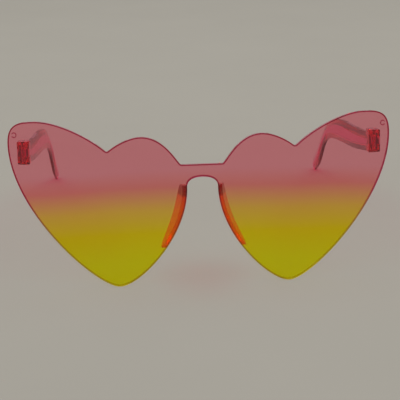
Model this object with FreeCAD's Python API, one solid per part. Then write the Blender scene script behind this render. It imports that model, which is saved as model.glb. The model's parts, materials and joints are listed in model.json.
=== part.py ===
import FreeCAD, Part
import math
import os

# Heart shaped sunglasses with the arms open, standing on the heart tips and the arm tips.
# Millimetres. +Z is up, the lens looks towards -Y, left and right are as seen from the front.
# Every piece is made upright, with the heart tips at Z = 0 and the lens touching Y = 0 in the
# middle. At the end the whole is leaned back until the arm tips come down to the same table.

# Lens
LENS_WIDTH = 150.0
LENS_THICKNESS = 2.0
LENS_CURVE_RADIUS = 300.0

# Heart outline, heights above the heart tips and spacings across the pair
LOBE_HEIGHT = 65.6
LOBE_INSET = 11.0
SIDE_DROP = 9.1
CLEFT_HEIGHT = 53.2
CLEFT_SPACING = 73.0
CLEFT_ROUNDING = 0.8
INNER_LOBE_HEIGHT = 59.0
INNER_LOBE_SPACING = 46.6
TIP_SPACING = 67.2
BRIDGE_TOP_HEIGHT = 47.9
BRIDGE_DEPTH = 4.9
BRIDGE_WIDTH = 16.0
NOSE_WIDTH = 12.0
NOSE_SIDE_HEIGHT = 39.1
CLEFT_FALL_ANGLE = -39.0
CLEFT_RISE_ANGLE = 41.0

# Fullness of the outline's curves at their start and end, as a share of the curve's span
BRIDGE_CURVE = (0.058, 0.492)
INNER_LOBE_CURVE = (0.307, 0.284)
CLEFT_CURVE = (0.5, 0.5)
LOBE_CURVE = (0.292, 0.292)
CORNER_CURVE = (0.469, 0.588)
FLANK_CURVE = (0.380, 0.126)
NOSE_CURVE = (0.165, 0.407)
ARCH_CURVE = (0.363, 0.503)
ROUND_CURVE = (0.552, 0.552)

# Hinge
PIN_INSET = 6.0
PIN_DROP = 12.4
PIN_BEHIND_LENS = 4.4
BLOCK_WIDTH = 4.8
BLOCK_HEIGHT = 9.0
BLOCK_ROUNDING = 0.5
TONGUE_HEIGHT = 3.0
TONGUE_RADIUS = 2.1
SCREW_DIAMETER = 1.4
SCREW_HEAD_DIAMETER = 2.4
SCREW_HEAD_HEIGHT = 0.8
SCREW_SLOT_WIDTH = 0.35
SCREW_SLOT_DEPTH = 0.35
SCREW_THREAD_DEPTH = 2.2

# Temple: distances along the arm, heights of the arm at those places
BEND_START = 94.0
HOOK_LENGTH = 50.5
ROOT_DROP = 1.25
TEMPLE_DROOP = 4.0
BEND_RADIUS = 34.0
HOOK_ANGLE = 33.0
ROOT_HEIGHT = 7.7
SHOULDER_PLACE = 32.0
SHOULDER_HEIGHT = 9.0
BEND_HEIGHT = 8.0
NECK_AFTER_BEND = 16.0
NECK_HEIGHT = 5.9
PADDLE_BEFORE_END = 13.0
PADDLE_HEIGHT = 7.5
TIP_HEIGHT = 6.4
TIP_LIFT = 1.6
TIP_TURN = 9.0
INNER_FACE = 1.2
ROOT_THICKNESS = 3.2
TIP_THICKNESS = 2.6
FACE_BEVEL = 2.7
EDGE_BEVEL = 0.8
RIDGE_WIDTH = 0.3

# Nose pad
PAD_TOP_HEIGHT = 39.5
PAD_BOTTOM_HEIGHT = 15.0
PAD_WALL = 1.7
PAD_DEPTH = 9.0
PAD_TOP_DEPTH = 3.0
PAD_FOOT_DEPTH = 0.8
PAD_BELLY_HEIGHT = 31.0
PAD_SPLAY = 11.0

# Clearances
BOND_FILM = 0.03
TONGUE_CLEARANCE = 0.1
SCREW_RUNNING_CLEARANCE = 0.05
SCREW_THREAD_CLEARANCE = 0.01
ROOT_CLEARANCE = 0.3

# Values that follow from the sizes above
SIDES = {"left": -1, "right": 1}
LENS_BACK_RADIUS = LENS_CURVE_RADIUS - LENS_THICKNESS
SIDE_HEIGHT = LOBE_HEIGHT - SIDE_DROP
PIN_X = LENS_WIDTH / 2 - PIN_INSET
PIN_HEIGHT = LOBE_HEIGHT - PIN_DROP
PAST_LENS = LENS_WIDTH / 4
EAR_RADIUS = BLOCK_WIDTH / 2
SCREW_RADIUS = SCREW_DIAMETER / 2
BORE_RADIUS = SCREW_RADIUS + SCREW_RUNNING_CLEARANCE
ROOT_START = EAR_RADIUS + ROOT_CLEARANCE
TIP_RADIUS = TIP_HEIGHT / 2
TEMPLE_LENGTH = BEND_START + HOOK_LENGTH
NECK_PLACE = BEND_START + NECK_AFTER_BEND
PADDLE_PLACE = TEMPLE_LENGTH - PADDLE_BEFORE_END
TIP_CENTRE_PLACE = TEMPLE_LENGTH - TIP_RADIUS
ARM_HEIGHTS = [
    (ROOT_START, ROOT_HEIGHT),
    (SHOULDER_PLACE, SHOULDER_HEIGHT),
    (BEND_START, BEND_HEIGHT),
    (NECK_PLACE, NECK_HEIGHT),
    (PADDLE_PLACE, PADDLE_HEIGHT),
]
OVERSHOOT = LENS_THICKNESS / 2


def vec(x, y, z):
    return FreeCAD.Vector(x, y, z)


def lens_back_y(x):
    """Y of the back of the lens, x from the middle."""
    return LENS_CURVE_RADIUS - math.sqrt(LENS_BACK_RADIUS**2 - x**2)


PIN_Y = lens_back_y(PIN_X) + PIN_BEHIND_LENS
SLOT_FLOOR_Y = PIN_Y - TONGUE_RADIUS - TONGUE_CLEARANCE


def lens_cylinder(radius):
    """Upright cylinder about the axis of the lens's curve."""
    return Part.makeCylinder(radius, LOBE_HEIGHT + 2 * OVERSHOOT, vec(0, LENS_CURVE_RADIUS, -OVERSHOOT))


def heading(angle):
    """Unit direction in the XZ plane, angle from +X towards +Z."""
    return vec(math.cos(math.radians(angle)), 0, math.sin(math.radians(angle)))


def curve(start, start_angle, end, end_angle, fullness):
    """Curve between two XZ points that leaves and arrives at the given angles."""
    first = vec(start[0], 0, start[1])
    last = vec(end[0], 0, end[1])
    span = first.distanceToPoint(last)
    leave = first + heading(start_angle) * (span * fullness[0])
    arrive = last - heading(end_angle) * (span * fullness[1])
    bezier = Part.BezierCurve()
    bezier.setPoles([first, leave, arrive, last])
    return bezier.toShape()


def line(start, end):
    return Part.makeLine(vec(start[0], 0, start[1]), vec(end[0], 0, end[1]))


def heart_half_face():
    """Right half of the lens outline as a flat face: half the bridge and one heart."""
    middle_top = (0, BRIDGE_TOP_HEIGHT)
    bridge_end = (BRIDGE_WIDTH / 2, BRIDGE_TOP_HEIGHT)
    inner_lobe = (INNER_LOBE_SPACING / 2, INNER_LOBE_HEIGHT)
    cleft_in = (CLEFT_SPACING / 2 - CLEFT_ROUNDING, CLEFT_HEIGHT + CLEFT_ROUNDING)
    cleft_out = (CLEFT_SPACING / 2 + CLEFT_ROUNDING, CLEFT_HEIGHT + CLEFT_ROUNDING)
    lobe_top = (LENS_WIDTH / 2 - LOBE_INSET, LOBE_HEIGHT)
    side = (LENS_WIDTH / 2, SIDE_HEIGHT)
    tip = (TIP_SPACING / 2, 0)
    nose_side = (NOSE_WIDTH / 2, NOSE_SIDE_HEIGHT)
    arch_top = (0, BRIDGE_TOP_HEIGHT - BRIDGE_DEPTH)
    edges = [
        line(middle_top, bridge_end),
        curve(bridge_end, 0, inner_lobe, 0, BRIDGE_CURVE),
        curve(inner_lobe, 0, cleft_in, CLEFT_FALL_ANGLE, INNER_LOBE_CURVE),
        curve(cleft_in, CLEFT_FALL_ANGLE, cleft_out, CLEFT_RISE_ANGLE, CLEFT_CURVE),
        curve(cleft_out, CLEFT_RISE_ANGLE, lobe_top, 0, LOBE_CURVE),
        curve(lobe_top, 0, side, -90, CORNER_CURVE),
        curve(side, -90, tip, 180, FLANK_CURVE),
        curve(tip, 180, nose_side, 90, NOSE_CURVE),
        curve(nose_side, 90, arch_top, 180, ARCH_CURVE),
        line(arch_top, middle_top),
    ]
    return Part.Face(Part.Wire(edges))


def mirrored(shape):
    """The left twin of a right-hand shape."""
    return shape.mirror(vec(0, 0, 0), vec(1, 0, 0))


def lens_shield():
    """Curved plate of even thickness cut to the outline of both hearts and the bridge."""
    half = heart_half_face().extrude(vec(0, PAST_LENS, 0))
    half.translate(vec(0, -OVERSHOOT, 0))
    outline = half.fuse(mirrored(half)).removeSplitter()
    shell = lens_cylinder(LENS_CURVE_RADIUS).cut(lens_cylinder(LENS_BACK_RADIUS))
    return outline.common(shell)


def hinge_block():
    """Right block bonded to the lens: two ears round the pin with a slot for the tongue between."""
    bottom = PIN_HEIGHT - BLOCK_HEIGHT / 2
    body = Part.makeBox(BLOCK_WIDTH, PIN_Y, BLOCK_HEIGHT, vec(PIN_X - EAR_RADIUS, 0, bottom))
    ears = Part.makeCylinder(EAR_RADIUS, BLOCK_HEIGHT, vec(PIN_X, PIN_Y, bottom))
    block = body.fuse(ears).removeSplitter()
    block = block.makeFillet(BLOCK_ROUNDING, [edge for edge in block.Edges if rounds_off(edge)])
    block = block.common(lens_cylinder(LENS_BACK_RADIUS - BOND_FILM))
    slot_height = TONGUE_HEIGHT + 2 * TONGUE_CLEARANCE
    slot = Part.makeBox(
        2 * BLOCK_WIDTH,
        2 * BLOCK_WIDTH,
        slot_height,
        vec(PIN_X - BLOCK_WIDTH, SLOT_FLOOR_Y, PIN_HEIGHT - slot_height / 2),
    )
    block = block.cut(slot)
    upper_bore = Part.makeCylinder(BORE_RADIUS, BLOCK_HEIGHT, vec(PIN_X, PIN_Y, PIN_HEIGHT))
    head_seat = Part.makeCylinder(
        SCREW_HEAD_DIAMETER / 2 + SCREW_RUNNING_CLEARANCE,
        SCREW_HEAD_HEIGHT + OVERSHOOT,
        vec(PIN_X, PIN_Y, PIN_HEIGHT + BLOCK_HEIGHT / 2 - SCREW_HEAD_HEIGHT),
    )
    thread_length = slot_height / 2 + SCREW_THREAD_DEPTH + TONGUE_CLEARANCE
    thread_bore = Part.makeCylinder(
        SCREW_RADIUS + SCREW_THREAD_CLEARANCE,
        thread_length,
        vec(PIN_X, PIN_Y, PIN_HEIGHT - thread_length),
    )
    return block.cut(upper_bore).cut(head_seat).cut(thread_bore)


def rounds_off(edge):
    """True for the level edges of the hinge block, apart from those at its front end."""
    box = edge.BoundBox
    return box.ZLength < BLOCK_ROUNDING and box.YMax > BLOCK_ROUNDING


def hinge_screw():
    """Right hinge screw: slotted flat head in the upper ear, thread in the lower ear."""
    shank_bottom = PIN_HEIGHT - TONGUE_HEIGHT / 2 - TONGUE_CLEARANCE - SCREW_THREAD_DEPTH
    head_bottom = PIN_HEIGHT + BLOCK_HEIGHT / 2 - SCREW_HEAD_HEIGHT
    shank = Part.makeCylinder(SCREW_RADIUS, head_bottom - shank_bottom, vec(PIN_X, PIN_Y, shank_bottom))
    head = Part.makeCylinder(SCREW_HEAD_DIAMETER / 2, SCREW_HEAD_HEIGHT, vec(PIN_X, PIN_Y, head_bottom))
    slot = Part.makeBox(
        2 * SCREW_HEAD_DIAMETER,
        SCREW_SLOT_WIDTH,
        SCREW_SLOT_DEPTH + OVERSHOOT,
        vec(
            PIN_X - SCREW_HEAD_DIAMETER,
            PIN_Y - SCREW_SLOT_WIDTH / 2,
            head_bottom + SCREW_HEAD_HEIGHT - SCREW_SLOT_DEPTH,
        ),
    )
    return shank.fuse(head).removeSplitter().cut(slot)


def arm_centre(place):
    """Drop below the pin and downward angle of the arm's centre line, place along Y from the pin."""
    bend_end = BEND_START + BEND_RADIUS * (
        math.sin(math.radians(HOOK_ANGLE)) - math.sin(math.radians(TEMPLE_DROOP))
    )
    straight_drop = ROOT_DROP + min(place, BEND_START) * math.tan(math.radians(TEMPLE_DROOP))
    if place <= BEND_START:
        return straight_drop, TEMPLE_DROOP
    in_bend = min(place, bend_end) - BEND_START
    angle = math.asin(math.sin(math.radians(TEMPLE_DROOP)) + in_bend / BEND_RADIUS)
    drop = straight_drop + BEND_RADIUS * (math.cos(math.radians(TEMPLE_DROOP)) - math.cos(angle))
    drop += max(place - bend_end, 0) * math.tan(angle)
    return drop, math.degrees(angle)


def arm_point(place, offset):
    """Point in the YZ plane at a place along the arm, offset square to its centre line."""
    drop, angle = arm_centre(place)
    tilt = math.radians(angle)
    return vec(0, PIN_Y + place + offset * math.sin(tilt), PIN_HEIGHT - drop + offset * math.cos(tilt))


def arm_direction(angle):
    """Unit direction in the YZ plane, angle downward from +Y."""
    return vec(0, math.cos(math.radians(angle)), -math.sin(math.radians(angle)))


def tip_frame():
    """Centre of the arm's round tip, the direction it points in and the direction square to that."""
    angle = arm_centre(TIP_CENTRE_PLACE)[1] - TIP_TURN
    return arm_point(TIP_CENTRE_PLACE, TIP_LIFT), arm_direction(angle), arm_direction(angle - 90)


def arm_thickness(y):
    """Thickness of the arm, thinner evenly from its root to its tip."""
    return ROOT_THICKNESS + (TIP_THICKNESS - ROOT_THICKNESS) * (y - PIN_Y) / TEMPLE_LENGTH


def flat_height(height, bevel):
    """Height of the flat that a bevel leaves on the arm's broad face."""
    return max(height - 2 * bevel, RIDGE_WIDTH)


def arm_section(bevel, depth, outer):
    """Side outline of the arm, narrowed by a bevel, at a depth below its inner or its outer face."""

    def across(point):
        reach = arm_thickness(point.y) - depth if outer else depth
        return vec(PIN_X - INNER_FACE + reach, point.y, point.z)

    def along(start, direction):
        return across(start + direction) - across(start)

    root_half = flat_height(ROOT_HEIGHT, bevel) / 2
    tip_half = flat_height(TIP_HEIGHT, bevel) / 2
    tip_centre, tip_forward, tip_up = tip_frame()

    def edge(side):
        points = [arm_point(place, side * flat_height(height, bevel) / 2) for place, height in ARM_HEIGHTS]
        points.append(tip_centre + tip_up * (side * tip_half))
        spline = Part.BSplineCurve()
        spline.interpolate(
            Points=[across(point) for point in points],
            InitialTangent=along(points[0], arm_direction(TEMPLE_DROOP)),
            FinalTangent=along(points[-1], tip_forward),
        )
        return spline.toShape()

    root = Part.makeLine(
        across(arm_point(ROOT_START, -root_half)), across(arm_point(ROOT_START, root_half))
    )
    tip = Part.Arc(
        across(tip_centre + tip_up * tip_half),
        across(tip_centre + tip_forward * tip_half),
        across(tip_centre - tip_up * tip_half),
    )
    return Part.Wire([root, edge(1), tip.toShape(), edge(-1)])


def tongue():
    """Right hinge tongue on the pin: round towards the fold, square where it stops the arm open."""
    bottom = PIN_HEIGHT - TONGUE_HEIGHT / 2
    outer_face = ROOT_THICKNESS - INNER_FACE
    barrel = Part.makeCylinder(TONGUE_RADIUS, TONGUE_HEIGHT, vec(PIN_X, PIN_Y, bottom))
    heel = Part.makeBox(outer_face, TONGUE_RADIUS, TONGUE_HEIGHT, vec(PIN_X, PIN_Y - TONGUE_RADIUS, bottom))
    neck = Part.makeBox(
        ROOT_THICKNESS, ROOT_START + EDGE_BEVEL, TONGUE_HEIGHT, vec(PIN_X - INNER_FACE, PIN_Y, bottom)
    )
    return barrel.fuse(heel).fuse(neck).removeSplitter()


def temple():
    """Right arm, open: a plate with both broad faces bevelled all round, on its hinge tongue."""
    plate = Part.makeLoft(
        [
            arm_section(FACE_BEVEL, 0, False),
            arm_section(0, EDGE_BEVEL, False),
            arm_section(0, EDGE_BEVEL, True),
            arm_section(FACE_BEVEL, 0, True),
        ],
        True,
        True,
    )
    bore = Part.makeCylinder(BORE_RADIUS, BLOCK_HEIGHT, vec(PIN_X, PIN_Y, PIN_HEIGHT - BLOCK_HEIGHT / 2))
    return plate.fuse(tongue()).cut(bore).removeSplitter()


def pad_side_face():
    """Side outline of a nose pad in the YZ plane: straight on the lens, round behind."""
    front = 0.0
    seat = LENS_THICKNESS
    top = vec(0, seat + PAD_TOP_DEPTH, PAD_TOP_HEIGHT)
    belly = vec(0, seat + PAD_DEPTH, PAD_BELLY_HEIGHT)
    foot = vec(0, seat + PAD_FOOT_DEPTH, PAD_BOTTOM_HEIGHT)
    upper = Part.BezierCurve()
    upper.setPoles(
        [
            top,
            vec(0, top.y + ROUND_CURVE[0] * (belly.y - top.y), top.z),
            vec(0, belly.y, belly.z + ROUND_CURVE[1] * (top.z - belly.z)),
            belly,
        ]
    )
    lower = Part.BezierCurve()
    lower.setPoles(
        [
            belly,
            vec(0, belly.y, belly.z - ROUND_CURVE[0] * (belly.z - foot.z)),
            vec(0, foot.y + ROUND_CURVE[1] * (belly.y - foot.y), foot.z),
            foot,
        ]
    )
    front_top = vec(0, front, PAD_TOP_HEIGHT)
    front_foot = vec(0, front, PAD_BOTTOM_HEIGHT)
    edges = [
        upper.toShape(),
        lower.toShape(),
        Part.makeLine(foot, front_foot),
        Part.makeLine(front_foot, front_top),
        Part.makeLine(front_top, top),
    ]
    return Part.Face(Part.Wire(edges))


def nose_pad():
    """Right nose pad: a wing along the nose edge of the lens that splays outwards going back."""
    heart = heart_half_face()
    shifted = heart.copy()
    shifted.translate(vec(PAD_WALL, 0, 0))
    strip = heart.cut(shifted)
    reach = LENS_THICKNESS + PAD_DEPTH
    splay = math.tan(math.radians(PAD_SPLAY))
    strip.translate(vec(-LENS_THICKNESS * splay, 0, 0))
    wing = strip.extrude(vec(reach * splay, reach, 0))
    side = pad_side_face().extrude(vec(TIP_SPACING / 2, 0, 0))
    wing = wing.common(side).common(lens_cylinder(LENS_BACK_RADIUS - BOND_FILM))
    return max(wing.Solids, key=lambda solid: solid.Volume)


def lean_angle():
    """Angle of the lens from upright when the heart tips and the arm tips share one table."""
    tip = tip_frame()[0]
    back = tip.y - lens_back_y(TIP_SPACING / 2)
    return math.atan2(tip.z, back) - math.asin(TIP_RADIUS / math.hypot(tip.z, back))


def stood_on_table(pieces):
    """All pieces leaned back together, the middle of their box over the origin."""
    lean = -math.degrees(lean_angle())
    leaned = {}
    for name, shape in pieces.items():
        leaned[name] = shape.copy()
        leaned[name].rotate(vec(0, 0, 0), vec(1, 0, 0), lean)
    box = Part.makeCompound(list(leaned.values())).optimalBoundingBox(False)
    to_origin = vec(-box.Center.x, -box.Center.y, -box.ZMin)
    for shape in leaned.values():
        shape.translate(to_origin)
    for side, sign in SIDES.items():
        pin = FreeCAD.Rotation(vec(1, 0, 0), lean).multVec(vec(sign * PIN_X, PIN_Y, PIN_HEIGHT))
        axis = FreeCAD.Rotation(vec(1, 0, 0), lean).multVec(vec(0, 0, sign))
        print(side, "hinge at", pin + to_origin, "axis", axis)
    return leaned


def main():
    right_pieces = {
        "hinge_block": hinge_block(),
        "hinge_screw": hinge_screw(),
        "temple": temple(),
        "nose_pad": nose_pad(),
    }
    pieces = {"lens_shield": lens_shield()}
    for name, shape in right_pieces.items():
        pieces["right_" + name] = shape
        pieces["left_" + name] = mirrored(shape)
    os.makedirs("parts", exist_ok=True)
    for name, shape in stood_on_table(pieces).items():
        print(name, shape.isValid(), len(shape.Solids), round(shape.Volume, 1), shape.optimalBoundingBox(False))
        shape.exportStep("parts/" + name + ".step")


main()
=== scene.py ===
import json
import math

import bmesh
import bpy
from mathutils import Matrix, Vector


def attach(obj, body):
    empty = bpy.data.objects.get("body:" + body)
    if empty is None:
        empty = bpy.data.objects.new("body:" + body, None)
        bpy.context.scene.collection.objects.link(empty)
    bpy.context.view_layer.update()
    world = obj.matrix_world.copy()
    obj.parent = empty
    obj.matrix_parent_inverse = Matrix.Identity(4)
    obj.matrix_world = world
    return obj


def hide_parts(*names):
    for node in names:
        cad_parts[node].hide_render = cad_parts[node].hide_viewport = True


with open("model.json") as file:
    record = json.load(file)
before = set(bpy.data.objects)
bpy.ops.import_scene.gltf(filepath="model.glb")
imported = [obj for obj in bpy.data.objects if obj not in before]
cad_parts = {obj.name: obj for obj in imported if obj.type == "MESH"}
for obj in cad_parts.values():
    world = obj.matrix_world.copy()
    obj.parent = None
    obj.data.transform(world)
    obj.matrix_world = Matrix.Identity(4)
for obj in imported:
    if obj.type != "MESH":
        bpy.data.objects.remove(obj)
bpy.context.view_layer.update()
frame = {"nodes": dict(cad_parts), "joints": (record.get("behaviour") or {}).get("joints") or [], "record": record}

bl_info = {
    "name": "Heart Sunglasses",
    "version": (1, 0, 0),
    "blender": (4, 5, 0),
    "location": "3D View > Sidebar > Sunglasses",
    "description": "Makes clear plastic heart sunglasses over their CAD frame",
    "category": "Add Mesh",
}

MM = 0.001
SIDES = {"left": -1, "right": 1}

# Lens as drawn upright, in millimetres: heart tips at Z = 0, lens touching Y = 0 in the middle
LENS_HALF_WIDTH = 75.0
LENS_THICKNESS = 2.0
LENS_RADIUS = 300.0
BRIDGE_TOP = (0.0, 47.9)
BRIDGE_END = (8.0, 47.9)
INNER_LOBE = (23.3, 59.0)
CLEFT_IN = (35.7, 54.0)
CLEFT_OUT = (37.3, 54.0)
OUTER_LOBE = (64.0, 65.59)
SIDE = (LENS_HALF_WIDTH, 56.5)
TIP = (33.6, 0.0)
NOSE_SIDE = (6.0, 39.1)
ARCH_TOP = (0.0, 43.0)

# Curves round one half, in order: start, angle there, end, angle there, fullness at both
OUTLINE_CURVES = (
    (BRIDGE_END, 0, INNER_LOBE, 0, (0.058, 0.492)),
    (INNER_LOBE, 0, CLEFT_IN, -39, (0.307, 0.284)),
    (CLEFT_IN, -39, CLEFT_OUT, 41, (0.5, 0.5)),
    (CLEFT_OUT, 41, OUTER_LOBE, 0, (0.292, 0.292)),
    (OUTER_LOBE, 0, SIDE, -90, (0.469, 0.588)),
    (SIDE, -90, TIP, 180, (0.380, 0.126)),
    (TIP, 180, NOSE_SIDE, 90, (0.165, 0.407)),
    (NOSE_SIDE, 90, ARCH_TOP, 180, (0.363, 0.503)),
)
OUTLINE_STEP = 0.6
GRID_STEP = 3.0
GRID_MERGE = 0.02
CUT_REACH = 1e-4
LEVEL_EDGE = 1e-6
RIM_TURN = 1.0
RIM_SEGMENTS = 3
FLAT_NORMAL = 0.999

# Tints by share of the lens' height: how far they rise at the sides, and how far they wander
TINT_RISE = 0.045
TINT_WANDER = 0.03

# Open ring that the mould leaves near each upper outer corner, with the half angle of its gap, and the strength of
# its painted shade
MARK_PLACE = (72.3, 60.4)
MARK_RADIUS = 0.9
MARK_LINE = 0.2
MARK_GAP = 0.5
MARK_SHADE = 1.6

# Other pieces, in the same drawing; pads take painted shade above that height
PIN = (69.0, 14.4983, 53.2)
PAD_SHADE_ABOVE = 34.8
SCREW_BOTTOM = 49.4
SCREW_ROUNDING = 0.04
THREAD_LENGTH = 2.2
THREAD_RUNOUT = 0.1

# Millimetres behind the pin at which painted shade starts on the edges of an arm
ARM_SHADE_FROM = 5

# Thread: steps in a turn, corners of its profile and, in thread depths, its start and bare length
THREAD_STEPS = 28
THREAD_CORNERS = 4
THREAD_START = 1.2
THREAD_SPARE = 2.5

# Turns between two faces, in degrees, on a flat face, a sharp edge and an arm's ridges and edges
FLAT_TURN = 0.2
SHARP_TURN = 35
RIDGE_TURN = 10
SQUARE_TURN = 40
SHADING_WEIGHT = 80
MERGE_DISTANCE = 1e-7

# Surface of the clear plastics: values for the shared group, strength of their relief
LENS_SURFACE = {"Polish": 0.0, "Smears": 0.008, "Scratches": 0.02, "Ripples": 0.10}
LENS_RELIEF = 0.02
LENS_IOR = 1.3
LENS_GLOSS = 0.15
PLASTIC_SURFACE = {"Polish": 0.025, "Smears": 0.03, "Scratches": 0.02, "Ripples": 0.12}
PLASTIC_RELIEF = 0.8
PLASTIC_IOR = 1.52
RELIEF_DEPTH = 0.2 * MM
SCRATCH_STRETCHES = ((900.0, 40.0, 60.0), (45.0, 60.0, 1000.0), (500.0, 60.0, 520.0))
PASSED_LIGHT_FADE = 0.93
EDGE_FALLOFF = 5.0
DEEP_STEEPNESS = 3.0

# Dark steel of the screws
STEEL_RINGS = (900.0, 900.0, 9000.0)
STEEL_RELIEF = 0.15
STEEL_RELIEF_DEPTH = 0.02 * MM
STEEL_SPOT_SHINE = 1.9

# Deep tint of painted shade on marked edge faces, clearness and absorption, as colour and density, of the moulded
# pieces
ARM_EDGE_SHADE = (0.30, 0.004, 0.03)
ARM_CLEARNESS = 0.97
ARM_ABSORPTION = ((0.99, 0.05, 0.64), 620)
BLOCK_EDGE_SHADE = (0.70, 0.006, 0.02)
BLOCK_CLEARNESS = 0.98
BLOCK_ABSORPTION = ((0.998, 0.01, 0.15), 400)
PAD_PAINTED_SHADE = (0.42, 0.004, 0.006)
PAD_EDGE_SHADE = (0.60, 0.008, 0.008)
PAD_CLEARNESS = 0.72
PAD_ABSORPTION = ((0.998, 0.05, 0.10), 1400)
CLOUD_TINT = (1, 0.9, 0.92)

# Stage, in metres and watts; the sky changes with height, the wall stands behind the object
TABLE_HALF_SIZE = 2.0
TABLE_MOTTLE = 0.08
SKY_STOPS = ((0.0, (0.31, 0.30, 0.28)), (0.9, (0.40, 0.40, 0.39)))
WALL_STOPS = ((0.3, (0, 0, 0)), (1.0, (0.54, 0.53, 0.51)))
WALL_MOTTLE = 0.6
CEILING_PLACE = (0.0, 0.2, 1.5)
CEILING_TARGET = (0.0, 0.2, 0.0)
CEILING_SIZE = (2.6, 2.8)
CEILING_POWER = 28.5
CAMERA_TARGET = (-0.0008, -0.0702, 0.0318)
SENSOR_WIDTH = 36.0
FOCAL_PER_SENSOR = 2.6607
CLIP_START = 0.01
CLIP_END = 20.0

# Tubes in front of the lens that give highlights and no diffuse light: place, length, width, slant
TUBES = (
    ((-0.130, -0.85, 0.541), 0.055, 0.008, 0),
    ((0.000, -0.85, 0.545), 0.17, 0.013, 3.4),
    ((0.112, -0.85, 0.541), 0.036, 0.009, 0),
    ((-0.3999, -0.85, 0.4649), 0.274, 0.0055, 36.4),
    ((0.3517, -0.85, 0.4570), 0.294, 0.005, -36.3),
)
TUBE_TARGET = (0, -0.05, 0.03)
TUBE_GLOW = 560.0


def joint(name):
    """A joint of the CAD frame."""
    return next(j for j in frame["joints"] if j["name"] == name)


def upright_to_row():
    """Matrix from the upright drawing, in millimetres, to the row frame, in metres."""
    hinge = joint("right_temple_hinge")
    lean = math.atan2(hinge["axis"][1], hinge["axis"][2])
    turn = Matrix.Rotation(-lean, 4, "X") @ Matrix.Scale(MM, 4)
    return Matrix.Translation(Vector(hinge["pos_m"]) - turn @ Vector(PIN)) @ turn


UPRIGHT_TO_ROW = upright_to_row()
ROW_TO_UPRIGHT = UPRIGHT_TO_ROW.inverted()


class LensSettings(bpy.types.PropertyGroup):
    """Sizes and colours of the lens."""

    rim_rounding: bpy.props.FloatProperty(
        name="Rim Rounding",
        description="Radius of the polished edge of the lens",
        default=0.35 * MM,
        unit="LENGTH",
    )
    # Painted shade: this width sets the band along the edge that takes the deeper rim tint
    rim_shade_width: bpy.props.FloatProperty(
        name="Rim Width",
        description="Width of the deeper coloured edge seen from the front",
        default=0.52 * MM,
        unit="LENGTH",
    )
    top_colour: bpy.props.FloatVectorProperty(
        name="Top Colour",
        description="Tint of the upper lens",
        default=(1.0, 0.36, 0.43),
        subtype="COLOR",
        size=3,
    )
    rose_colour: bpy.props.FloatVectorProperty(
        name="Rose Colour",
        description="Tint where the upper colour starts to turn",
        default=(0.99, 0.29, 0.28),
        subtype="COLOR",
        size=3,
    )
    amber_colour: bpy.props.FloatVectorProperty(
        name="Amber Colour",
        description="Tint where the two colours run into each other",
        default=(1.0, 0.62, 0.09),
        subtype="COLOR",
        size=3,
    )
    lemon_colour: bpy.props.FloatVectorProperty(
        name="Lemon Colour",
        description="Tint where the lower colour starts",
        default=(0.98, 0.78, 0.0),
        subtype="COLOR",
        size=3,
    )
    bottom_colour: bpy.props.FloatVectorProperty(
        name="Bottom Colour",
        description="Tint of the lower lens",
        default=(0.92, 0.90, 0.0),
        subtype="COLOR",
        size=3,
    )
    # Painted shade: the two rim colours paint the darker edge that the polished rim shows where light runs a long
    # way in the plastic
    rim_top_shade_colour: bpy.props.FloatVectorProperty(
        name="Upper Rim Colour",
        description="Deeper tint of the upper edge, where light runs a long way in the plastic",
        default=(0.55, 0.02, 0.07),
        subtype="COLOR",
        size=3,
    )
    rim_bottom_shade_colour: bpy.props.FloatVectorProperty(
        name="Lower Rim Colour",
        description="Deeper tint of the lower edge",
        default=(0.60, 0.42, 0.0),
        subtype="COLOR",
        size=3,
    )
    clearness: bpy.props.FloatProperty(
        name="Clearness",
        description="Share of the light that goes through the plastic unscattered",
        default=0.97,
        subtype="FACTOR",
        min=0,
        max=1,
    )


class ArmSettings(bpy.types.PropertyGroup):
    """Sizes and colours of the arms, hinge blocks and nose pads."""

    ridge_rounding: bpy.props.FloatProperty(
        name="Ridge Rounding",
        description="Width of the rounding between the bevelled faces of an arm",
        default=0.7 * MM,
        unit="LENGTH",
    )
    edge_share: bpy.props.FloatProperty(
        name="Edge Share",
        description="Rounding of the square edges of an arm, as a share of that on its ridges",
        default=0.3,
        subtype="FACTOR",
        min=0,
        max=1,
    )
    block_rounding: bpy.props.FloatProperty(
        name="Block Rounding",
        description="Radius on the edges of a hinge block",
        default=0.14 * MM,
        unit="LENGTH",
    )
    pad_rounding: bpy.props.FloatProperty(
        name="Pad Rounding",
        description="Radius on the edges of a nose pad",
        default=0.5 * MM,
        unit="LENGTH",
    )
    arm_colour: bpy.props.FloatVectorProperty(
        name="Arm Colour",
        description="Tint of the arms",
        default=(1.0, 0.90, 0.95),
        subtype="COLOR",
        size=3,
    )
    block_colour: bpy.props.FloatVectorProperty(
        name="Block Colour",
        description="Tint of the hinge blocks",
        default=(1.0, 0.60, 0.70),
        subtype="COLOR",
        size=3,
    )
    pad_colour: bpy.props.FloatVectorProperty(
        name="Pad Colour",
        description="Tint of the nose pads",
        default=(1.0, 0.26, 0.08),
        subtype="COLOR",
        size=3,
    )


class ScrewSettings(bpy.types.PropertyGroup):
    """Sizes and colour of the hinge screws."""

    thread_pitch: bpy.props.FloatProperty(
        name="Thread Pitch",
        description="Rise of the thread in one turn",
        default=0.3 * MM,
        unit="LENGTH",
    )
    thread_depth: bpy.props.FloatProperty(
        name="Thread Depth",
        description="From the crest of the thread to its root",
        default=0.12 * MM,
        unit="LENGTH",
    )
    crest_radius: bpy.props.FloatProperty(
        name="Crest Radius",
        description="Radius over the crests of the thread",
        default=0.69 * MM,
        unit="LENGTH",
    )
    steel_colour: bpy.props.FloatVectorProperty(
        name="Steel Colour",
        description="Colour of the dark steel",
        default=(0.20, 0.18, 0.18),
        subtype="COLOR",
        size=3,
    )


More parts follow.
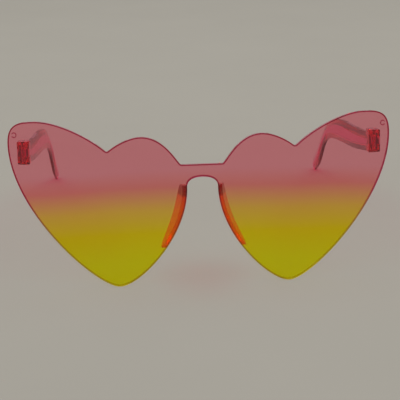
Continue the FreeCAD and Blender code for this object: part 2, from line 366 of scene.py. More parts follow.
class StageSettings(bpy.types.PropertyGroup):
    """Floor, light and camera."""

    floor_colour: bpy.props.FloatVectorProperty(
        name="Floor Colour",
        description="Colour of the table top",
        default=(0.386, 0.366, 0.325),
        subtype="COLOR",
        size=3,
    )
    camera_height: bpy.props.FloatProperty(
        name="Camera Height",
        description="Angle of the camera above the horizon",
        default=math.radians(17.6),
        subtype="ANGLE",
    )
    camera_side: bpy.props.FloatProperty(
        name="Camera Side",
        description="Angle of the camera to the right of the lens's middle plane",
        default=math.radians(-2.98),
        subtype="ANGLE",
    )
    camera_roll: bpy.props.FloatProperty(
        name="Camera Roll",
        description="Turn of the camera about its line of sight",
        default=math.radians(1.27),
        subtype="ANGLE",
    )
    camera_distance: bpy.props.FloatProperty(
        name="Camera Distance",
        description="From the camera to the middle of the lens",
        default=0.42,
        unit="LENGTH",
    )


def add_node(tree, kind, place=(0, 0), **values):
    """A node of that kind, with values for its properties."""
    node = tree.nodes.new(kind)
    node.location = place
    for name, value in values.items():
        setattr(node, name, value)
    return node


def math_node(tree, operation, first, second=None, third=None, clamp=False):
    """The output of a Math node; first, second and third are sockets or numbers."""
    node = add_node(tree, "ShaderNodeMath", operation=operation, use_clamp=clamp)
    for i, value in enumerate((first, second, third)):
        if value is None:
            continue
        if isinstance(value, bpy.types.NodeSocket):
            tree.links.new(value, node.inputs[i])
        else:
            node.inputs[i].default_value = value
    return node.outputs[0]


def colour_mix(tree, factor, first, second, blend="MIX"):
    """The output of a colour Mix node; factor and colours are sockets or values."""
    node = add_node(tree, "ShaderNodeMix", data_type="RGBA", blend_type=blend)
    for i, value in ((0, factor), (6, first), (7, second)):
        if isinstance(value, bpy.types.NodeSocket):
            tree.links.new(value, node.inputs[i])
        elif i:
            node.inputs[i].default_value = (*value, 1) if len(value) == 3 else value
        else:
            node.inputs[i].default_value = value
    return node.outputs[2]


def colour_ramp(tree, factor, stops):
    """The output of a Color Ramp with these (place, colour) stops."""
    node = add_node(tree, "ShaderNodeValToRGB")
    elements = node.color_ramp.elements
    while len(elements) < len(stops):
        elements.new(0.5)
    for element, (place, colour) in zip(elements, stops):
        element.position = place
        element.color = (*colour, 1)
    tree.links.new(factor, node.inputs["Fac"])
    return node.outputs["Color"]


def spread(tree, value, slope, offset):
    """A value times slope plus offset, kept between 0 and 1."""
    return math_node(tree, "MULTIPLY_ADD", value, slope, offset, clamp=True)


def painted_shade_mask(tree):
    """The mark that a mesh carries on its rim or edge faces, where painted shade goes."""
    node = add_node(tree, "ShaderNodeAttribute", (-400, 0))
    node.attribute_type = "GEOMETRY"
    node.attribute_name = "rim"
    return node.outputs["Fac"]


def noise(tree, vector, scale, detail=2.0, roughness=0.5, stretch=None):
    """The value of a Noise Texture on a vector, stretched by a Mapping node where asked."""
    if stretch:
        mapping = add_node(tree, "ShaderNodeMapping")
        mapping.inputs["Scale"].default_value = stretch
        tree.links.new(vector, mapping.inputs["Vector"])
        vector = mapping.outputs["Vector"]
    node = add_node(tree, "ShaderNodeTexNoise")
    node.inputs["Detail"].default_value = detail
    node.inputs["Roughness"].default_value = roughness
    node.inputs["Scale"].default_value = scale
    tree.links.new(vector, node.inputs["Vector"])
    return node.outputs["Fac"]


def moulded_surface_group():
    """What handling and moulding leave on clear plastic: scratches, smears and soft ripples."""
    name = "Moulded Surface"
    if name in bpy.data.node_groups:
        return bpy.data.node_groups[name]
    tree = bpy.data.node_groups.new(name, "ShaderNodeTree")
    tree.interface.new_socket("Vector", in_out="INPUT", socket_type="NodeSocketVector")
    for label, value in PLASTIC_SURFACE.items():
        socket = tree.interface.new_socket(label, in_out="INPUT", socket_type="NodeSocketFloat")
        socket.default_value = value
    for label in ("Roughness", "Height"):
        tree.interface.new_socket(label, in_out="OUTPUT", socket_type="NodeSocketFloat")
    given = add_node(tree, "NodeGroupInput", (-900, 0)).outputs
    out = add_node(tree, "NodeGroupOutput", (700, 0)).inputs
    vector = given["Vector"]
    smear = noise(tree, vector, scale=55.0, detail=4.0, roughness=0.6)
    smear = spread(tree, smear, slope=2.6, offset=-1.1)
    scratch = 0.0
    for stretch in SCRATCH_STRETCHES:
        line = noise(tree, vector, scale=1.0, detail=1.0, roughness=0.4, stretch=stretch)
        line = math_node(tree, "SUBTRACT", line, 0.5)
        line = math_node(tree, "ABSOLUTE", line)
        line = spread(tree, line, slope=-90.0, offset=1.0)
        scratch = math_node(tree, "ADD", scratch, line)
    gaps = noise(tree, vector, scale=130.0)
    gaps = spread(tree, gaps, slope=5.0, offset=-2.7)
    scratch = math_node(tree, "MULTIPLY", scratch, gaps)
    ripple = noise(tree, vector, scale=90.0, detail=1.0, roughness=0.4)
    rough = math_node(tree, "MULTIPLY_ADD", smear, given["Smears"], given["Polish"])
    marks = math_node(tree, "MULTIPLY", scratch, given["Scratches"])
    rough = math_node(tree, "ADD", rough, marks, clamp=True)
    height = math_node(tree, "MULTIPLY", ripple, given["Ripples"])
    height = math_node(tree, "SUBTRACT", height, marks)
    tree.links.new(rough, out["Roughness"])
    tree.links.new(height, out["Height"])
    return tree


def new_material(name):
    """An empty node material and its tree."""
    material = bpy.data.materials.new(name)
    material.use_nodes = True
    material.node_tree.nodes.clear()
    return material, material.node_tree


def object_coordinates(tree):
    """Places in the piece's own space, which is the row frame."""
    return add_node(tree, "ShaderNodeTexCoord", (-1200, 0)).outputs["Object"]


def moulded_surface(tree, vector, values):
    """The shared surface group placed in a material with its own values."""
    node = add_node(tree, "ShaderNodeGroup", (-500, -300), node_tree=moulded_surface_group())
    tree.links.new(vector, node.inputs["Vector"])
    for label, value in values.items():
        node.inputs[label].default_value = value
    return node


def clear_plastic(tree, colour, surface, height, clearness, ior, strength, depth=None, rays=()):
    """Principled clear plastic that lets lamp light and these other rays through it.

    Depth is the colour and density of its absorption."""
    principled = add_node(tree, "ShaderNodeBsdfPrincipled", (100, 200))
    principled.inputs["IOR"].default_value = ior
    principled.inputs["Transmission Weight"].default_value = clearness
    relief = add_node(tree, "ShaderNodeBump", (-150, -300))
    relief.inputs["Strength"].default_value = strength
    relief.inputs["Distance"].default_value = RELIEF_DEPTH
    tree.links.new(height, relief.inputs["Height"])
    tree.links.new(relief.outputs["Normal"], principled.inputs["Normal"])
    tree.links.new(surface.outputs["Roughness"], principled.inputs["Roughness"])
    see_through = add_node(tree, "ShaderNodeBsdfTransparent", (100, -150))
    tree.links.new(colour, principled.inputs["Base Color"])
    passed = colour_mix(tree, PASSED_LIGHT_FADE, colour, (1, 1, 1))
    tree.links.new(passed, see_through.inputs["Color"])
    light_path = add_node(tree, "ShaderNodeLightPath", (100, 450))
    shader = principled.outputs["BSDF"]
    for i, ray in enumerate(("Is Shadow Ray", "Is Diffuse Ray", *rays)):
        mix = add_node(tree, "ShaderNodeMixShader", (400 + 200 * i, 200))
        tree.links.new(light_path.outputs[ray], mix.inputs[0])
        tree.links.new(shader, mix.inputs[1])
        tree.links.new(see_through.outputs["BSDF"], mix.inputs[2])
        shader = mix.outputs["Shader"]
    out = add_node(tree, "ShaderNodeOutputMaterial", (1000, 200))
    tree.links.new(shader, out.inputs["Surface"])
    if depth:
        absorption = add_node(tree, "ShaderNodeVolumeAbsorption", (400, 0))
        absorption.inputs["Color"].default_value = (*depth[0], 1)
        absorption.inputs["Density"].default_value = depth[1]
        tree.links.new(absorption.outputs["Volume"], out.inputs["Volume"])
    return principled


def upright_place(tree, vector):
    """X, Y and Z in the upright drawing, in millimetres."""
    mapping = add_node(tree, "ShaderNodeMapping", (-1000, 200))
    mapping.inputs["Location"].default_value = ROW_TO_UPRIGHT.translation
    mapping.inputs["Rotation"].default_value = ROW_TO_UPRIGHT.to_euler()
    mapping.inputs["Scale"].default_value = ROW_TO_UPRIGHT.to_scale()
    tree.links.new(vector, mapping.inputs["Vector"])
    split = add_node(tree, "ShaderNodeSeparateXYZ", (-800, 200))
    tree.links.new(mapping.outputs["Vector"], split.inputs["Vector"])
    return split.outputs


def mould_mark(tree, place):
    """Mask of the small open ring that the mould leaves near each upper outer corner, for its relief and its
    painted shade.
    """
    across = math_node(tree, "SUBTRACT", math_node(tree, "ABSOLUTE", place["X"]), MARK_PLACE[0])
    up = math_node(tree, "SUBTRACT", place["Z"], MARK_PLACE[1])
    squares = math_node(tree, "MULTIPLY", across, across)
    squares = math_node(tree, "MULTIPLY_ADD", up, up, squares)
    radius = math_node(tree, "SQRT", squares)
    off = math_node(tree, "ABSOLUTE", math_node(tree, "SUBTRACT", radius, MARK_RADIUS))
    ring = spread(tree, off, slope=-1 / MARK_LINE, offset=1.0)
    side = math_node(tree, "ABSOLUTE", math_node(tree, "ARCTAN2", up, across))
    closed = math_node(tree, "GREATER_THAN", side, MARK_GAP)
    return math_node(tree, "MULTIPLY", ring, closed)


def lens_material(settings):
    """Clear plastic tinted pink above and yellow below, with painted shade in a deeper tint along the rim and on
    the mould ring.
    """
    material, tree = new_material("lens_two_colour")
    vector = object_coordinates(tree)
    surface = moulded_surface(tree, vector, LENS_SURFACE)
    place = upright_place(tree, vector)
    share = math_node(tree, "DIVIDE", place["Z"], OUTER_LOBE[1])
    aside = math_node(tree, "DIVIDE", place["X"], LENS_HALF_WIDTH)
    rise = math_node(tree, "MULTIPLY", aside, aside)
    share = math_node(tree, "MULTIPLY_ADD", rise, TINT_RISE, share)
    wander = noise(tree, vector, scale=25.0, detail=1.0)
    wander = math_node(tree, "MULTIPLY_ADD", wander, TINT_WANDER, -TINT_WANDER / 2)
    share = math_node(tree, "ADD", share, wander)
    tints = (
        (0.14, settings.bottom_colour),
        (0.32, settings.lemon_colour),
        (0.46, settings.amber_colour),
        (0.60, settings.rose_colour),
        (0.70, settings.top_colour),
    )
    # Painted shade: deeper tints for the rim, set by height like the lens tints
    rim_shade_tints = ((0.25, settings.rim_bottom_shade_colour), (0.55, settings.rim_top_shade_colour))
    tint = colour_ramp(tree, share, tints)
    deep = colour_ramp(tree, share, rim_shade_tints)
    # The mould ring is relief in the height below, and painted shade in the deeper tint
    mark = mould_mark(tree, place)
    shade = spread(tree, mark, slope=MARK_SHADE, offset=painted_shade_mask(tree))
    colour = colour_mix(tree, shade, tint, deep)
    height = math_node(tree, "SUBTRACT", surface.outputs["Height"], mark)
    principled = clear_plastic(
        tree,
        colour,
        surface,
        height,
        settings.clearness,
        LENS_IOR,
        LENS_RELIEF,
        rays=["Is Reflection Ray"],
    )
    principled.inputs["Specular IOR Level"].default_value = LENS_GLOSS
    return material


def tinted_material(name, colour, deep, clearness, depth, shade_above=None):
    """Clear moulded plastic of one tint, cloudier here and there, deeper where it is thick, with painted shade on
    its marked edge faces.

    Painted shade covers it all over above that height of the upright drawing, in millimetres."""
    material, tree = new_material(name)
    vector = object_coordinates(tree)
    surface = moulded_surface(tree, vector, PLASTIC_SURFACE)
    height = surface.outputs["Height"]
    cloud = noise(tree, vector, scale=70.0, detail=3.0)
    cloud = spread(tree, cloud, slope=1.8, offset=-0.4)
    clouded = colour_mix(tree, cloud, colour, [c * f for c, f in zip(colour, CLOUD_TINT)])
    # Painted shade: the marked edge faces, and all above the given height, take the deep tint
    share = math_node(tree, "POWER", painted_shade_mask(tree), EDGE_FALLOFF)
    if shade_above:
        above = math_node(tree, "SUBTRACT", upright_place(tree, vector)["Z"], shade_above)
        above = math_node(tree, "MULTIPLY", above, DEEP_STEEPNESS, clamp=True)
        share = math_node(tree, "MAXIMUM", share, above)
    mixed = colour_mix(tree, share, clouded, deep)
    clear_plastic(tree, mixed, surface, height, clearness, PLASTIC_IOR, PLASTIC_RELIEF, depth)
    return material


def steel_material(settings):
    """Dark turned steel with fine rings and paler spots."""
    material, tree = new_material("screw_dark_steel")
    vector = object_coordinates(tree)
    rings = noise(tree, vector, scale=1.0, roughness=0.6, stretch=STEEL_RINGS)
    spots = noise(tree, vector, scale=1500.0, detail=3.0, roughness=0.6)
    spots = spread(tree, spots, slope=3.0, offset=-1.0)
    steel = settings.steel_colour
    colour = colour_mix(tree, spots, steel, [min(1.0, c * STEEL_SPOT_SHINE) for c in steel])
    rough = math_node(tree, "MULTIPLY_ADD", rings, 0.25, 0.22)
    principled = add_node(tree, "ShaderNodeBsdfPrincipled", (100, 200))
    principled.inputs["Metallic"].default_value = 1.0
    relief = add_node(tree, "ShaderNodeBump", (-150, -300))
    relief.inputs["Strength"].default_value = STEEL_RELIEF
    relief.inputs["Distance"].default_value = STEEL_RELIEF_DEPTH
    tree.links.new(rings, relief.inputs["Height"])
    tree.links.new(relief.outputs["Normal"], principled.inputs["Normal"])
    tree.links.new(colour, principled.inputs["Base Color"])
    tree.links.new(rough, principled.inputs["Roughness"])
    out = add_node(tree, "ShaderNodeOutputMaterial", (400, 200))
    tree.links.new(principled.outputs["BSDF"], out.inputs["Surface"])
    return material


def new_piece(name, mesh, material):
    """A mesh object at the origin with one material."""
    mesh.materials.clear()
    mesh.materials.append(material)
    piece = bpy.data.objects.new(name, mesh)
    bpy.context.scene.collection.objects.link(piece)
    return piece


def finish_piece(piece, node):
    """The piece stands for a CAD node, on that node's body."""
    body = next(b for b, nodes in frame["record"]["behaviour"]["bodies"].items() if node in nodes)
    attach(piece, body)
    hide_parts(node)


def heading(angle):
    """The direction at that angle, in degrees."""
    return Vector((math.cos(math.radians(angle)), math.sin(math.radians(angle))))


def bezier_points(start, start_angle, end, end_angle, fullness):
    """Points along a curve that leaves and arrives at these angles, without its last point."""
    first, last = Vector(start), Vector(end)
    span = (last - first).length
    leave = first + heading(start_angle) * span * fullness[0]
    arrive = last - heading(end_angle) * span * fullness[1]
    count = max(3, round(span / OUTLINE_STEP))
    points = []
    for i in range(count):
        t = i / count
        s = 1 - t
        points.append(first * s**3 + leave * 3 * t * s**2 + arrive * 3 * t**2 * s + last * t**3)
    return points


def lens_outline():
    """Outline of the whole lens, drawn upright, in order round it."""
    half = [Vector(BRIDGE_TOP)]
    for curve in OUTLINE_CURVES:
        half += bezier_points(*curve)
    half.append(Vector(ARCH_TOP))
    other = [Vector((-p.x, p.y)) for p in reversed(half[1:-1])]
    return half + other


def lens_mesh(rounding, rim_shade_width):
    """The lens as a plate of even grid with a rounded rim, bent to its curve; the rim carries the mark for painted
    shade.
    """
    bm = bmesh.new()
    painted_shade_layer = bm.faces.layers.float.new("rim")
    loop = [bm.verts.new((p.x, 0, p.y)) for p in lens_outline()]
    plate = bm.faces.new(loop)
    plate.normal_update()
    ring = bmesh.ops.inset_region(
        bm,
        faces=[plate],
        thickness=rim_shade_width / MM,
        use_boundary=True,
        use_even_offset=True,
    )
    # The inset band round the plate takes the mark for the rim's painted shade
    for face in ring["faces"]:
        face[painted_shade_layer] = 1.0
    spans = ((0, -LENS_HALF_WIDTH, LENS_HALF_WIDTH), (2, 0, OUTER_LOBE[1]))
    for axis, lowest, highest in spans:
        steps = round((highest - lowest) / GRID_STEP)
        for i in range(1, steps):
            place, normal = Vector(), Vector()
            place[axis] = lowest + (highest - lowest) * i / steps
            normal[axis] = 1
            geometry = bm.verts[:] + bm.edges[:] + bm.faces[:]
            bmesh.ops.bisect_plane(
                bm, geom=geometry, dist=CUT_REACH, plane_co=place, plane_no=normal
            )
    bmesh.ops.remove_doubles(bm, verts=bm.verts[:], dist=GRID_MERGE)
    raised = bmesh.ops.extrude_face_region(bm, geom=bm.faces[:], use_keep_orig=True)
    for element in raised["geom"]:
        if isinstance(element, bmesh.types.BMVert):
            element.co.y = LENS_THICKNESS
    bmesh.ops.recalc_face_normals(bm, faces=bm.faces[:])
    bm.normal_update()
    rims = [e for e in bm.edges if len(e.link_faces) == 2 and e.calc_face_angle() > RIM_TURN]
    rims = [e for e in rims if abs(e.verts[0].co.y - e.verts[1].co.y) < LEVEL_EDGE]
    bmesh.ops.bevel(
        bm,
        geom=rims,
        offset=rounding / MM,
        segments=RIM_SEGMENTS,
        profile=0.5,
        affect="EDGES",
        clamp_overlap=True,
    )
    bm.normal_update()
    # The rounded rim faces also take the mark for painted shade
    for face in bm.faces:
        if abs(face.normal.y) < FLAT_NORMAL:
            face[painted_shade_layer] = 1.0
        face.smooth = True
    for v in bm.verts:
        depth = LENS_RADIUS - v.co.y
        v.co.y = LENS_RADIUS - math.sqrt(depth**2 - v.co.x**2)
        v.co = UPRIGHT_TO_ROW @ v.co
    bmesh.ops.recalc_face_normals(bm, faces=bm.faces[:])
    mesh = bpy.data.meshes.new("lens")
    bm.to_mesh(mesh)
    bm.free()
    return mesh


def node_mesh(node, name, takes_painted_shade=None, fades_from=None):
    """A merged copy of a CAD node's mesh, with flat faces joined up and its edge faces marked for painted shade.

    A fading mark goes on the corners of the edge faces, from that Y on, and runs out beside
    them."""
    source = frame["nodes"][node].data
    mesh = bpy.data.meshes.new(name)
    mesh.from_pydata([v.co for v in source.vertices], [], [p.vertices[:] for p in source.polygons])
    bm = bmesh.new()
    bm.from_mesh(mesh)
    bmesh.ops.remove_doubles(bm, verts=bm.verts[:], dist=MERGE_DISTANCE)
    flat = math.radians(FLAT_TURN)
    bmesh.ops.dissolve_limit(bm, angle_limit=flat, verts=bm.verts[:], edges=bm.edges[:])
    fading = fades_from is not None
    painted_shade_layer = (bm.verts if fading else bm.faces).layers.float.new("rim")
    bm.normal_update()
    for face in bm.faces:
        face.smooth = True
        if takes_painted_shade and takes_painted_shade(face.normal):
            marked = [v for v in face.verts if v.co.y > fades_from] if fading else [face]
            for element in marked:
                element[painted_shade_layer] = 1.0
    bm.to_mesh(mesh)
    bm.free()
    return mesh


def weigh_edges(mesh, ridge, square, share):
    """Weights for rounding: 1 where faces turn by more than ridge degrees, share past square."""
    bm = bmesh.new()
    bm.from_mesh(mesh)
    weights = bm.edges.layers.float.new("bevel_weight_edge")
    for edge in bm.edges:
        turn = math.degrees(edge.calc_face_angle(0))
        edge[weights] = share if turn > square else float(turn > ridge)
    bm.to_mesh(mesh)
    bm.free()


def even_shading(piece, keep_sharp=False):
    """Shades flat faces flat and roundings round."""
    weighted = piece.modifiers.new("even shading", "WEIGHTED_NORMAL")
    weighted.keep_sharp = keep_sharp
    weighted.weight = SHADING_WEIGHT


def round_edges(piece, radius, segments, angle=SHARP_TURN, slot=-1):
    """Rounds the sharp edges of a piece, with the material of that slot, and evens its shading.

    With no angle, the weights of the edges say how far."""
    bevel = piece.modifiers.new("rounded edges", "BEVEL")
    bevel.material = slot
    bevel.width = radius
    bevel.segments = segments
    bevel.limit_method = "ANGLE" if angle else "WEIGHT"
    bevel.angle_limit = math.radians(angle)
    bevel.miter_outer = "MITER_ARC"
    even_shading(piece, keep_sharp=True)


class SUNGLASSES_OT_lens(bpy.types.Operator):
    """Make the two-colour lens"""

    bl_idname = "sunglasses.lens"
    bl_label = "Lens"

    def execute(self, context):
        settings = context.scene.sunglasses_lens
        mesh = lens_mesh(settings.rim_rounding, settings.rim_shade_width)
        piece = new_piece("lens", mesh, lens_material(settings))
        even_shading(piece)
        finish_piece(piece, "lens_shield")
        return {"FINISHED"}


class SUNGLASSES_OT_arms(bpy.types.Operator):
    """Make both arms with their hinge tongues"""

    bl_idname = "sunglasses.arms"
    bl_label = "Arms"

    def execute(self, context):
        settings = context.scene.sunglasses_arms
        colour = settings.arm_colour
        material = tinted_material(
            "arm_clear_pink", colour, ARM_EDGE_SHADE, ARM_CLEARNESS, ARM_ABSORPTION
        )
        for side in SIDES:
            node = side + "_temple"
            start = Vector(joint(side + "_temple_hinge")["pos_m"]).y + ARM_SHADE_FROM * MM
            # Painted shade on the arm's edge faces, those not facing sideways, seen as dark outlines
            mesh = node_mesh(node, "arm_" + side, lambda normal: abs(normal.x) < 0.5, start)
            weigh_edges(mesh, RIDGE_TURN, SQUARE_TURN, settings.edge_share)
            piece = new_piece("arm_" + side, mesh, material)
            round_edges(piece, settings.ridge_rounding, segments=4, angle=0)
            finish_piece(piece, node)
        return {"FINISHED"}


class SUNGLASSES_OT_hinge_blocks(bpy.types.Operator):
    """Make the hinge blocks bonded to the lens"""

    bl_idname = "sunglasses.hinge_blocks"
    bl_label = "Hinge Blocks"

    def execute(self, context):
        settings = context.scene.sunglasses_arms
        colour = settings.block_colour
        material = tinted_material(
            "hinge_clear_red", colour, BLOCK_EDGE_SHADE, BLOCK_CLEARNESS, BLOCK_ABSORPTION
        )
        for side in SIDES:
            node = side + "_hinge_block"
            # Painted shade on the block's top and bottom faces, which show as dark lines
            mesh = node_mesh(node, "hinge_block_" + side, lambda normal: abs(normal.z) > 0.9)
            piece = new_piece("hinge_block_" + side, mesh, material)
            round_edges(piece, settings.block_rounding, segments=2)
            finish_piece(piece, node)
        return {"FINISHED"}


class SUNGLASSES_OT_nose_pads(bpy.types.Operator):
    """Make the nose pads bonded to the lens"""

    bl_idname = "sunglasses.nose_pads"
    bl_label = "Nose Pads"

    def execute(self, context):
        settings = context.scene.sunglasses_arms
        finish = (PAD_PAINTED_SHADE, PAD_CLEARNESS, PAD_ABSORPTION, PAD_SHADE_ABOVE)
        material = tinted_material("pad_clear_red", settings.pad_colour, *finish)
        # The pad's rounded edges take a second material, painted shade in dark red
        edge = tinted_material("pad_edge_painted_shade", PAD_EDGE_SHADE, *finish)
        for side in SIDES:
            node = side + "_nose_pad"
            # Painted shade on the pad's upward faces and on all of it above its set height
            mesh = node_mesh(node, "nose_pad_" + side, lambda normal: normal.z > 0.6)
            piece = new_piece("nose_pad_" + side, mesh, material)
            piece.data.materials.append(edge)
            round_edges(piece, settings.pad_rounding, segments=4, slot=1)
            finish_piece(piece, node)
        return {"FINISHED"}


def thread_tree():
    """Geometry Nodes that wind a thread round the bare end of a screw standing on the origin."""
    tree = bpy.data.node_groups.new("Screw Thread", "GeometryNodeTree")
    tree.interface.new_socket("Screw", in_out="INPUT", socket_type="NodeSocketGeometry")
    for label in ("Pitch", "Length", "Root Radius", "Depth"):
        tree.interface.new_socket(label, in_out="INPUT", socket_type="NodeSocketFloat")
    tree.interface.new_socket("Steel", in_out="INPUT", socket_type="NodeSocketMaterial")
    tree.interface.new_socket("Screw", in_out="OUTPUT", socket_type="NodeSocketGeometry")
    given = add_node(tree, "NodeGroupInput", (-800, 0)).outputs
    out = add_node(tree, "NodeGroupOutput", (1000, 0))
    winding = add_node(tree, "GeometryNodeCurveSpiral", (-300, 200))
    winding.inputs["Resolution"].default_value = THREAD_STEPS
    height = math_node(tree, "MULTIPLY_ADD", given["Depth"], -THREAD_SPARE, given["Length"])
    tree.links.new(math_node(tree, "DIVIDE", height, given["Pitch"]), winding.inputs["Rotations"])
    for label in ("Start Radius", "End Radius"):
        tree.links.new(given["Root Radius"], winding.inputs[label])
    tree.links.new(height, winding.inputs["Height"])
    upright = add_node(tree, "GeometryNodeSetCurveNormal", (-100, 200), mode="Z_UP")
    tree.links.new(winding.outputs["Curve"], upright.inputs["Curve"])
    profile = add_node(tree, "GeometryNodeCurvePrimitiveCircle", (-300, -100), mode="RADIUS")
    profile.inputs["Resolution"].default_value = THREAD_CORNERS
    tree.links.new(given["Depth"], profile.inputs["Radius"])
    ridge = add_node(tree, "GeometryNodeCurveToMesh", (100, 200))
    ridge.inputs["Fill Caps"].default_value = True
    tree.links.new(upright.outputs["Curve"], ridge.inputs["Curve"])
    tree.links.new(profile.outputs["Curve"], ridge.inputs["Profile Curve"])
    lift = add_node(tree, "ShaderNodeCombineXYZ", (100, -100))
    start = math_node(tree, "MULTIPLY", given["Depth"], THREAD_START)
    tree.links.new(start, lift.inputs["Z"])
    place = add_node(tree, "GeometryNodeTransform", (300, 200))
    tree.links.new(ridge.outputs["Mesh"], place.inputs["Geometry"])
    tree.links.new(lift.outputs["Vector"], place.inputs["Translation"])
    join = add_node(tree, "GeometryNodeJoinGeometry", (500, 0))
    tree.links.new(given["Screw"], join.inputs["Geometry"])
    tree.links.new(place.outputs["Geometry"], join.inputs["Geometry"])
    real = add_node(tree, "GeometryNodeRealizeInstances", (650, 0))
    tree.links.new(join.outputs["Geometry"], real.inputs["Geometry"])
    steel = add_node(tree, "GeometryNodeSetMaterial", (800, 0))
    tree.links.new(real.outputs["Geometry"], steel.inputs["Geometry"])
    tree.links.new(given["Steel"], steel.inputs["Material"])
    tree.links.new(steel.outputs["Geometry"], out.inputs["Screw"])
    return tree


def turned_down(mesh, length, radius):
    """Thins the lower end of a screw standing on the origin to the root of its thread."""
    bm = bmesh.new()
    bm.from_mesh(mesh)
    runout = THREAD_RUNOUT * MM
    for height in (length - runout, length):
        bmesh.ops.bisect_plane(
            bm,
            geom=bm.verts[:] + bm.edges[:] + bm.faces[:],
            dist=MERGE_DISTANCE,
            plane_co=(0, 0, height),
            plane_no=(0, 0, 1),
        )
    for v in bm.verts:
        reach = math.hypot(v.co.x, v.co.y)
        if v.co.z < length - runout / 2 and reach > radius:
            v.co.x *= radius / reach
            v.co.y *= radius / reach
    bm.to_mesh(mesh)
    bm.free()


def threaded_screw(node, place, settings, material, tree):
    """Mesh of a CAD screw with a thread on its end.

    Place takes a screw that stands on the origin to its hinge."""
    root = settings.crest_radius - settings.thread_depth
    mesh = node_mesh(node, node)
    mesh.transform(place.inverted())
    turned_down(mesh, THREAD_LENGTH * MM, root)
    blank = new_piece(node + "_blank", mesh, material)
    round_edges(blank, SCREW_ROUNDING * MM, segments=2)
    thread = blank.modifiers.new("thread", "NODES")
    thread.node_group = tree
    values = {
        "Pitch": settings.thread_pitch,
        "Length": THREAD_LENGTH * MM,
        "Root Radius": root,
        "Depth": settings.thread_depth,
        "Steel": material,
    }
    for socket in tree.interface.items_tree:
        if socket.in_out == "INPUT" and socket.name in values:
            thread[socket.identifier] = values[socket.name]
    seen = blank.evaluated_get(bpy.context.evaluated_depsgraph_get())
    screw = bpy.data.meshes.new_from_object(seen)
    bpy.data.objects.remove(blank)
    screw.transform(place)
    return screw


class SUNGLASSES_OT_screws(bpy.types.Operator):
    """Make the threaded hinge screws"""

    bl_idname = "sunglasses.screws"
    bl_label = "Hinge Screws"

    def execute(self, context):
        settings = context.scene.sunglasses_screws
        material = steel_material(settings)
        tree = thread_tree()
        for side, sign in SIDES.items():
            node = side + "_hinge_screw"
            foot = Matrix.Translation((sign * PIN[0], PIN[1], SCREW_BOTTOM))
            place = UPRIGHT_TO_ROW @ foot @ Matrix.Scale(1 / MM, 4)
            mesh = threaded_screw(node, place, settings, material, tree)
            piece = new_piece("screw_" + side, mesh, material)
            finish_piece(piece, node)
        return {"FINISHED"}


def floor_material(colour):
    """Plain table top with faint mottling."""
    material, tree = new_material("table_top")
    vector = object_coordinates(tree)
    mottle = noise(tree, vector, scale=6.0, detail=4.0, roughness=0.6)
    mottle = math_node(tree, "MULTIPLY_ADD", mottle, TABLE_MOTTLE, 1 - TABLE_MOTTLE / 2)
    scaled = add_node(tree, "ShaderNodeVectorMath", operation="SCALE")
    scaled.inputs[0].default_value = colour
    tree.links.new(mottle, scaled.inputs["Scale"])
    principled = add_node(tree, "ShaderNodeBsdfPrincipled", (100, 200))
    principled.inputs["Roughness"].default_value = 0.7
    principled.inputs["Specular IOR Level"].default_value = 0.0
    tree.links.new(scaled.outputs["Vector"], principled.inputs["Base Color"])
    out = add_node(tree, "ShaderNodeOutputMaterial", (400, 200))
    tree.links.new(principled.outputs["BSDF"], out.inputs["Surface"])
    return material


def area_lamp(name, place, target, size, power, slant=0, shape="RECTANGLE"):
    """A soft lamp that looks at a point, turned about that line by slant degrees."""
    data = bpy.data.lights.new(name, "AREA")
    data.shape = shape
    data.size, data.size_y = size
    data.energy = power
    lamp = bpy.data.objects.new(name, data)
    aim = (Vector(target) - Vector(place)).to_track_quat("-Z", "Y").to_matrix().to_4x4()
    turn = Matrix.Rotation(math.radians(slant), 4, "Z")
    lamp.matrix_world = Matrix.Translation(place) @ aim @ turn
    bpy.context.scene.collection.objects.link(lamp)
    return lamp


def add_table(colour):
    """The table top that the object stands on."""
    bm = bmesh.new()
    bmesh.ops.create_grid(bm, x_segments=1, y_segments=1, size=TABLE_HALF_SIZE)
    mesh = bpy.data.meshes.new("table")
    bm.to_mesh(mesh)
    bm.free()
    floor = new_piece("table", mesh, floor_material(colour))


def studio_world():
    """A grey room, paler above, with a pale mottled wall behind the object."""
    world = bpy.data.worlds.new("studio")
    world.use_nodes = True
    tree = world.node_tree
    background = tree.nodes["Background"]
    direction = add_node(tree, "ShaderNodeTexCoord").outputs["Generated"]
    split = add_node(tree, "ShaderNodeSeparateXYZ")
    tree.links.new(direction, split.inputs["Vector"])
    sky = colour_ramp(tree, split.outputs["Z"], SKY_STOPS)
    patches = noise(tree, direction, scale=5.0, detail=1.0)
    patches = math_node(tree, "MULTIPLY_ADD", patches, WALL_MOTTLE, 1 - WALL_MOTTLE / 2)
    depth = math_node(tree, "MULTIPLY", split.outputs["Y"], patches)
    wall = colour_ramp(tree, depth, WALL_STOPS)
    sky = colour_mix(tree, 1.0, sky, wall, "LIGHTEN")
    tree.links.new(sky, background.inputs["Color"])
    background.inputs["Strength"].default_value = 1.0
    return world


def photo_camera(settings):
    """The camera where the photograph was taken from."""
    data = bpy.data.cameras.new("camera")
    data.sensor_width = SENSOR_WIDTH
    data.lens = SENSOR_WIDTH * FOCAL_PER_SENSOR
    data.clip_start = CLIP_START
    data.clip_end = CLIP_END
    camera = bpy.data.objects.new("camera", data)
    back = Vector((0, -math.cos(settings.camera_height), math.sin(settings.camera_height)))
    back.rotate(Matrix.Rotation(settings.camera_side, 3, "Z"))
    aim = (-back).to_track_quat("-Z", "Y").to_matrix().to_4x4()
    roll = Matrix.Rotation(-settings.camera_roll, 4, "Z")
    place = Vector(CAMERA_TARGET) + back * settings.camera_distance
    camera.matrix_world = Matrix.Translation(place) @ aim @ roll
    bpy.context.scene.collection.objects.link(camera)
    return camera


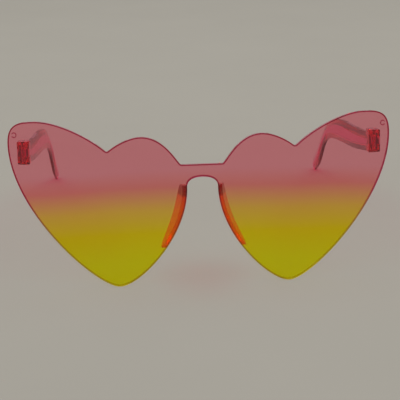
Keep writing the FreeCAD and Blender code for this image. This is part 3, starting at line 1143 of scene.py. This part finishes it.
class SUNGLASSES_OT_stage(bpy.types.Operator):
    """Set the table, the lamps and the camera"""

    bl_idname = "sunglasses.stage"
    bl_label = "Stage"

    def execute(self, context):
        settings = context.scene.sunglasses_stage
        scene = context.scene
        scene.view_settings.view_transform = "Standard"
        add_table(settings.floor_colour)
        scene.world = studio_world()
        area_lamp("ceiling", CEILING_PLACE, CEILING_TARGET, CEILING_SIZE, CEILING_POWER)
        for i, (place, length, width, slant) in enumerate(TUBES):
            size, power = (length, width), TUBE_GLOW * length * width
            tube = area_lamp("tube %d" % i, place, TUBE_TARGET, size, power, slant, "ELLIPSE")
            tube.visible_diffuse = False
        scene.camera = photo_camera(settings)
        return {"FINISHED"}


class SUNGLASSES_PT_panel(bpy.types.Panel):
    """Settings and buttons of the sunglasses"""

    bl_idname = "SUNGLASSES_PT_panel"
    bl_label = "Heart Sunglasses"
    bl_space_type = "VIEW_3D"
    bl_region_type = "UI"
    bl_category = "Sunglasses"

    def draw(self, context):
        scene = context.scene
        for label, settings in SETTINGS.items():
            column = self.layout.column()
            column.label(text=settings.__doc__)
            for name in settings.__annotations__:
                column.prop(getattr(scene, label), name)
        for operator in OPERATORS:
            self.layout.operator(operator.bl_idname)


SETTINGS = {
    "sunglasses_lens": LensSettings,
    "sunglasses_arms": ArmSettings,
    "sunglasses_screws": ScrewSettings,
    "sunglasses_stage": StageSettings,
}
OPERATORS = (
    SUNGLASSES_OT_stage,
    SUNGLASSES_OT_lens,
    SUNGLASSES_OT_hinge_blocks,
    SUNGLASSES_OT_screws,
    SUNGLASSES_OT_arms,
    SUNGLASSES_OT_nose_pads,
)
CLASSES = (*SETTINGS.values(), *OPERATORS, SUNGLASSES_PT_panel)


def register():
    for cls in CLASSES:
        bpy.utils.register_class(cls)
    for label, settings in SETTINGS.items():
        setattr(bpy.types.Scene, label, bpy.props.PointerProperty(type=settings))


def unregister():
    for label in SETTINGS:
        delattr(bpy.types.Scene, label)
    for cls in reversed(CLASSES):
        bpy.utils.unregister_class(cls)


def main():
    """Makes everything in order."""
    register()
    bpy.ops.sunglasses.stage()
    bpy.ops.sunglasses.lens()
    bpy.ops.sunglasses.hinge_blocks()
    bpy.ops.sunglasses.screws()
    bpy.ops.sunglasses.arms()
    bpy.ops.sunglasses.nose_pads()


if __name__ == "__main__":
    main()
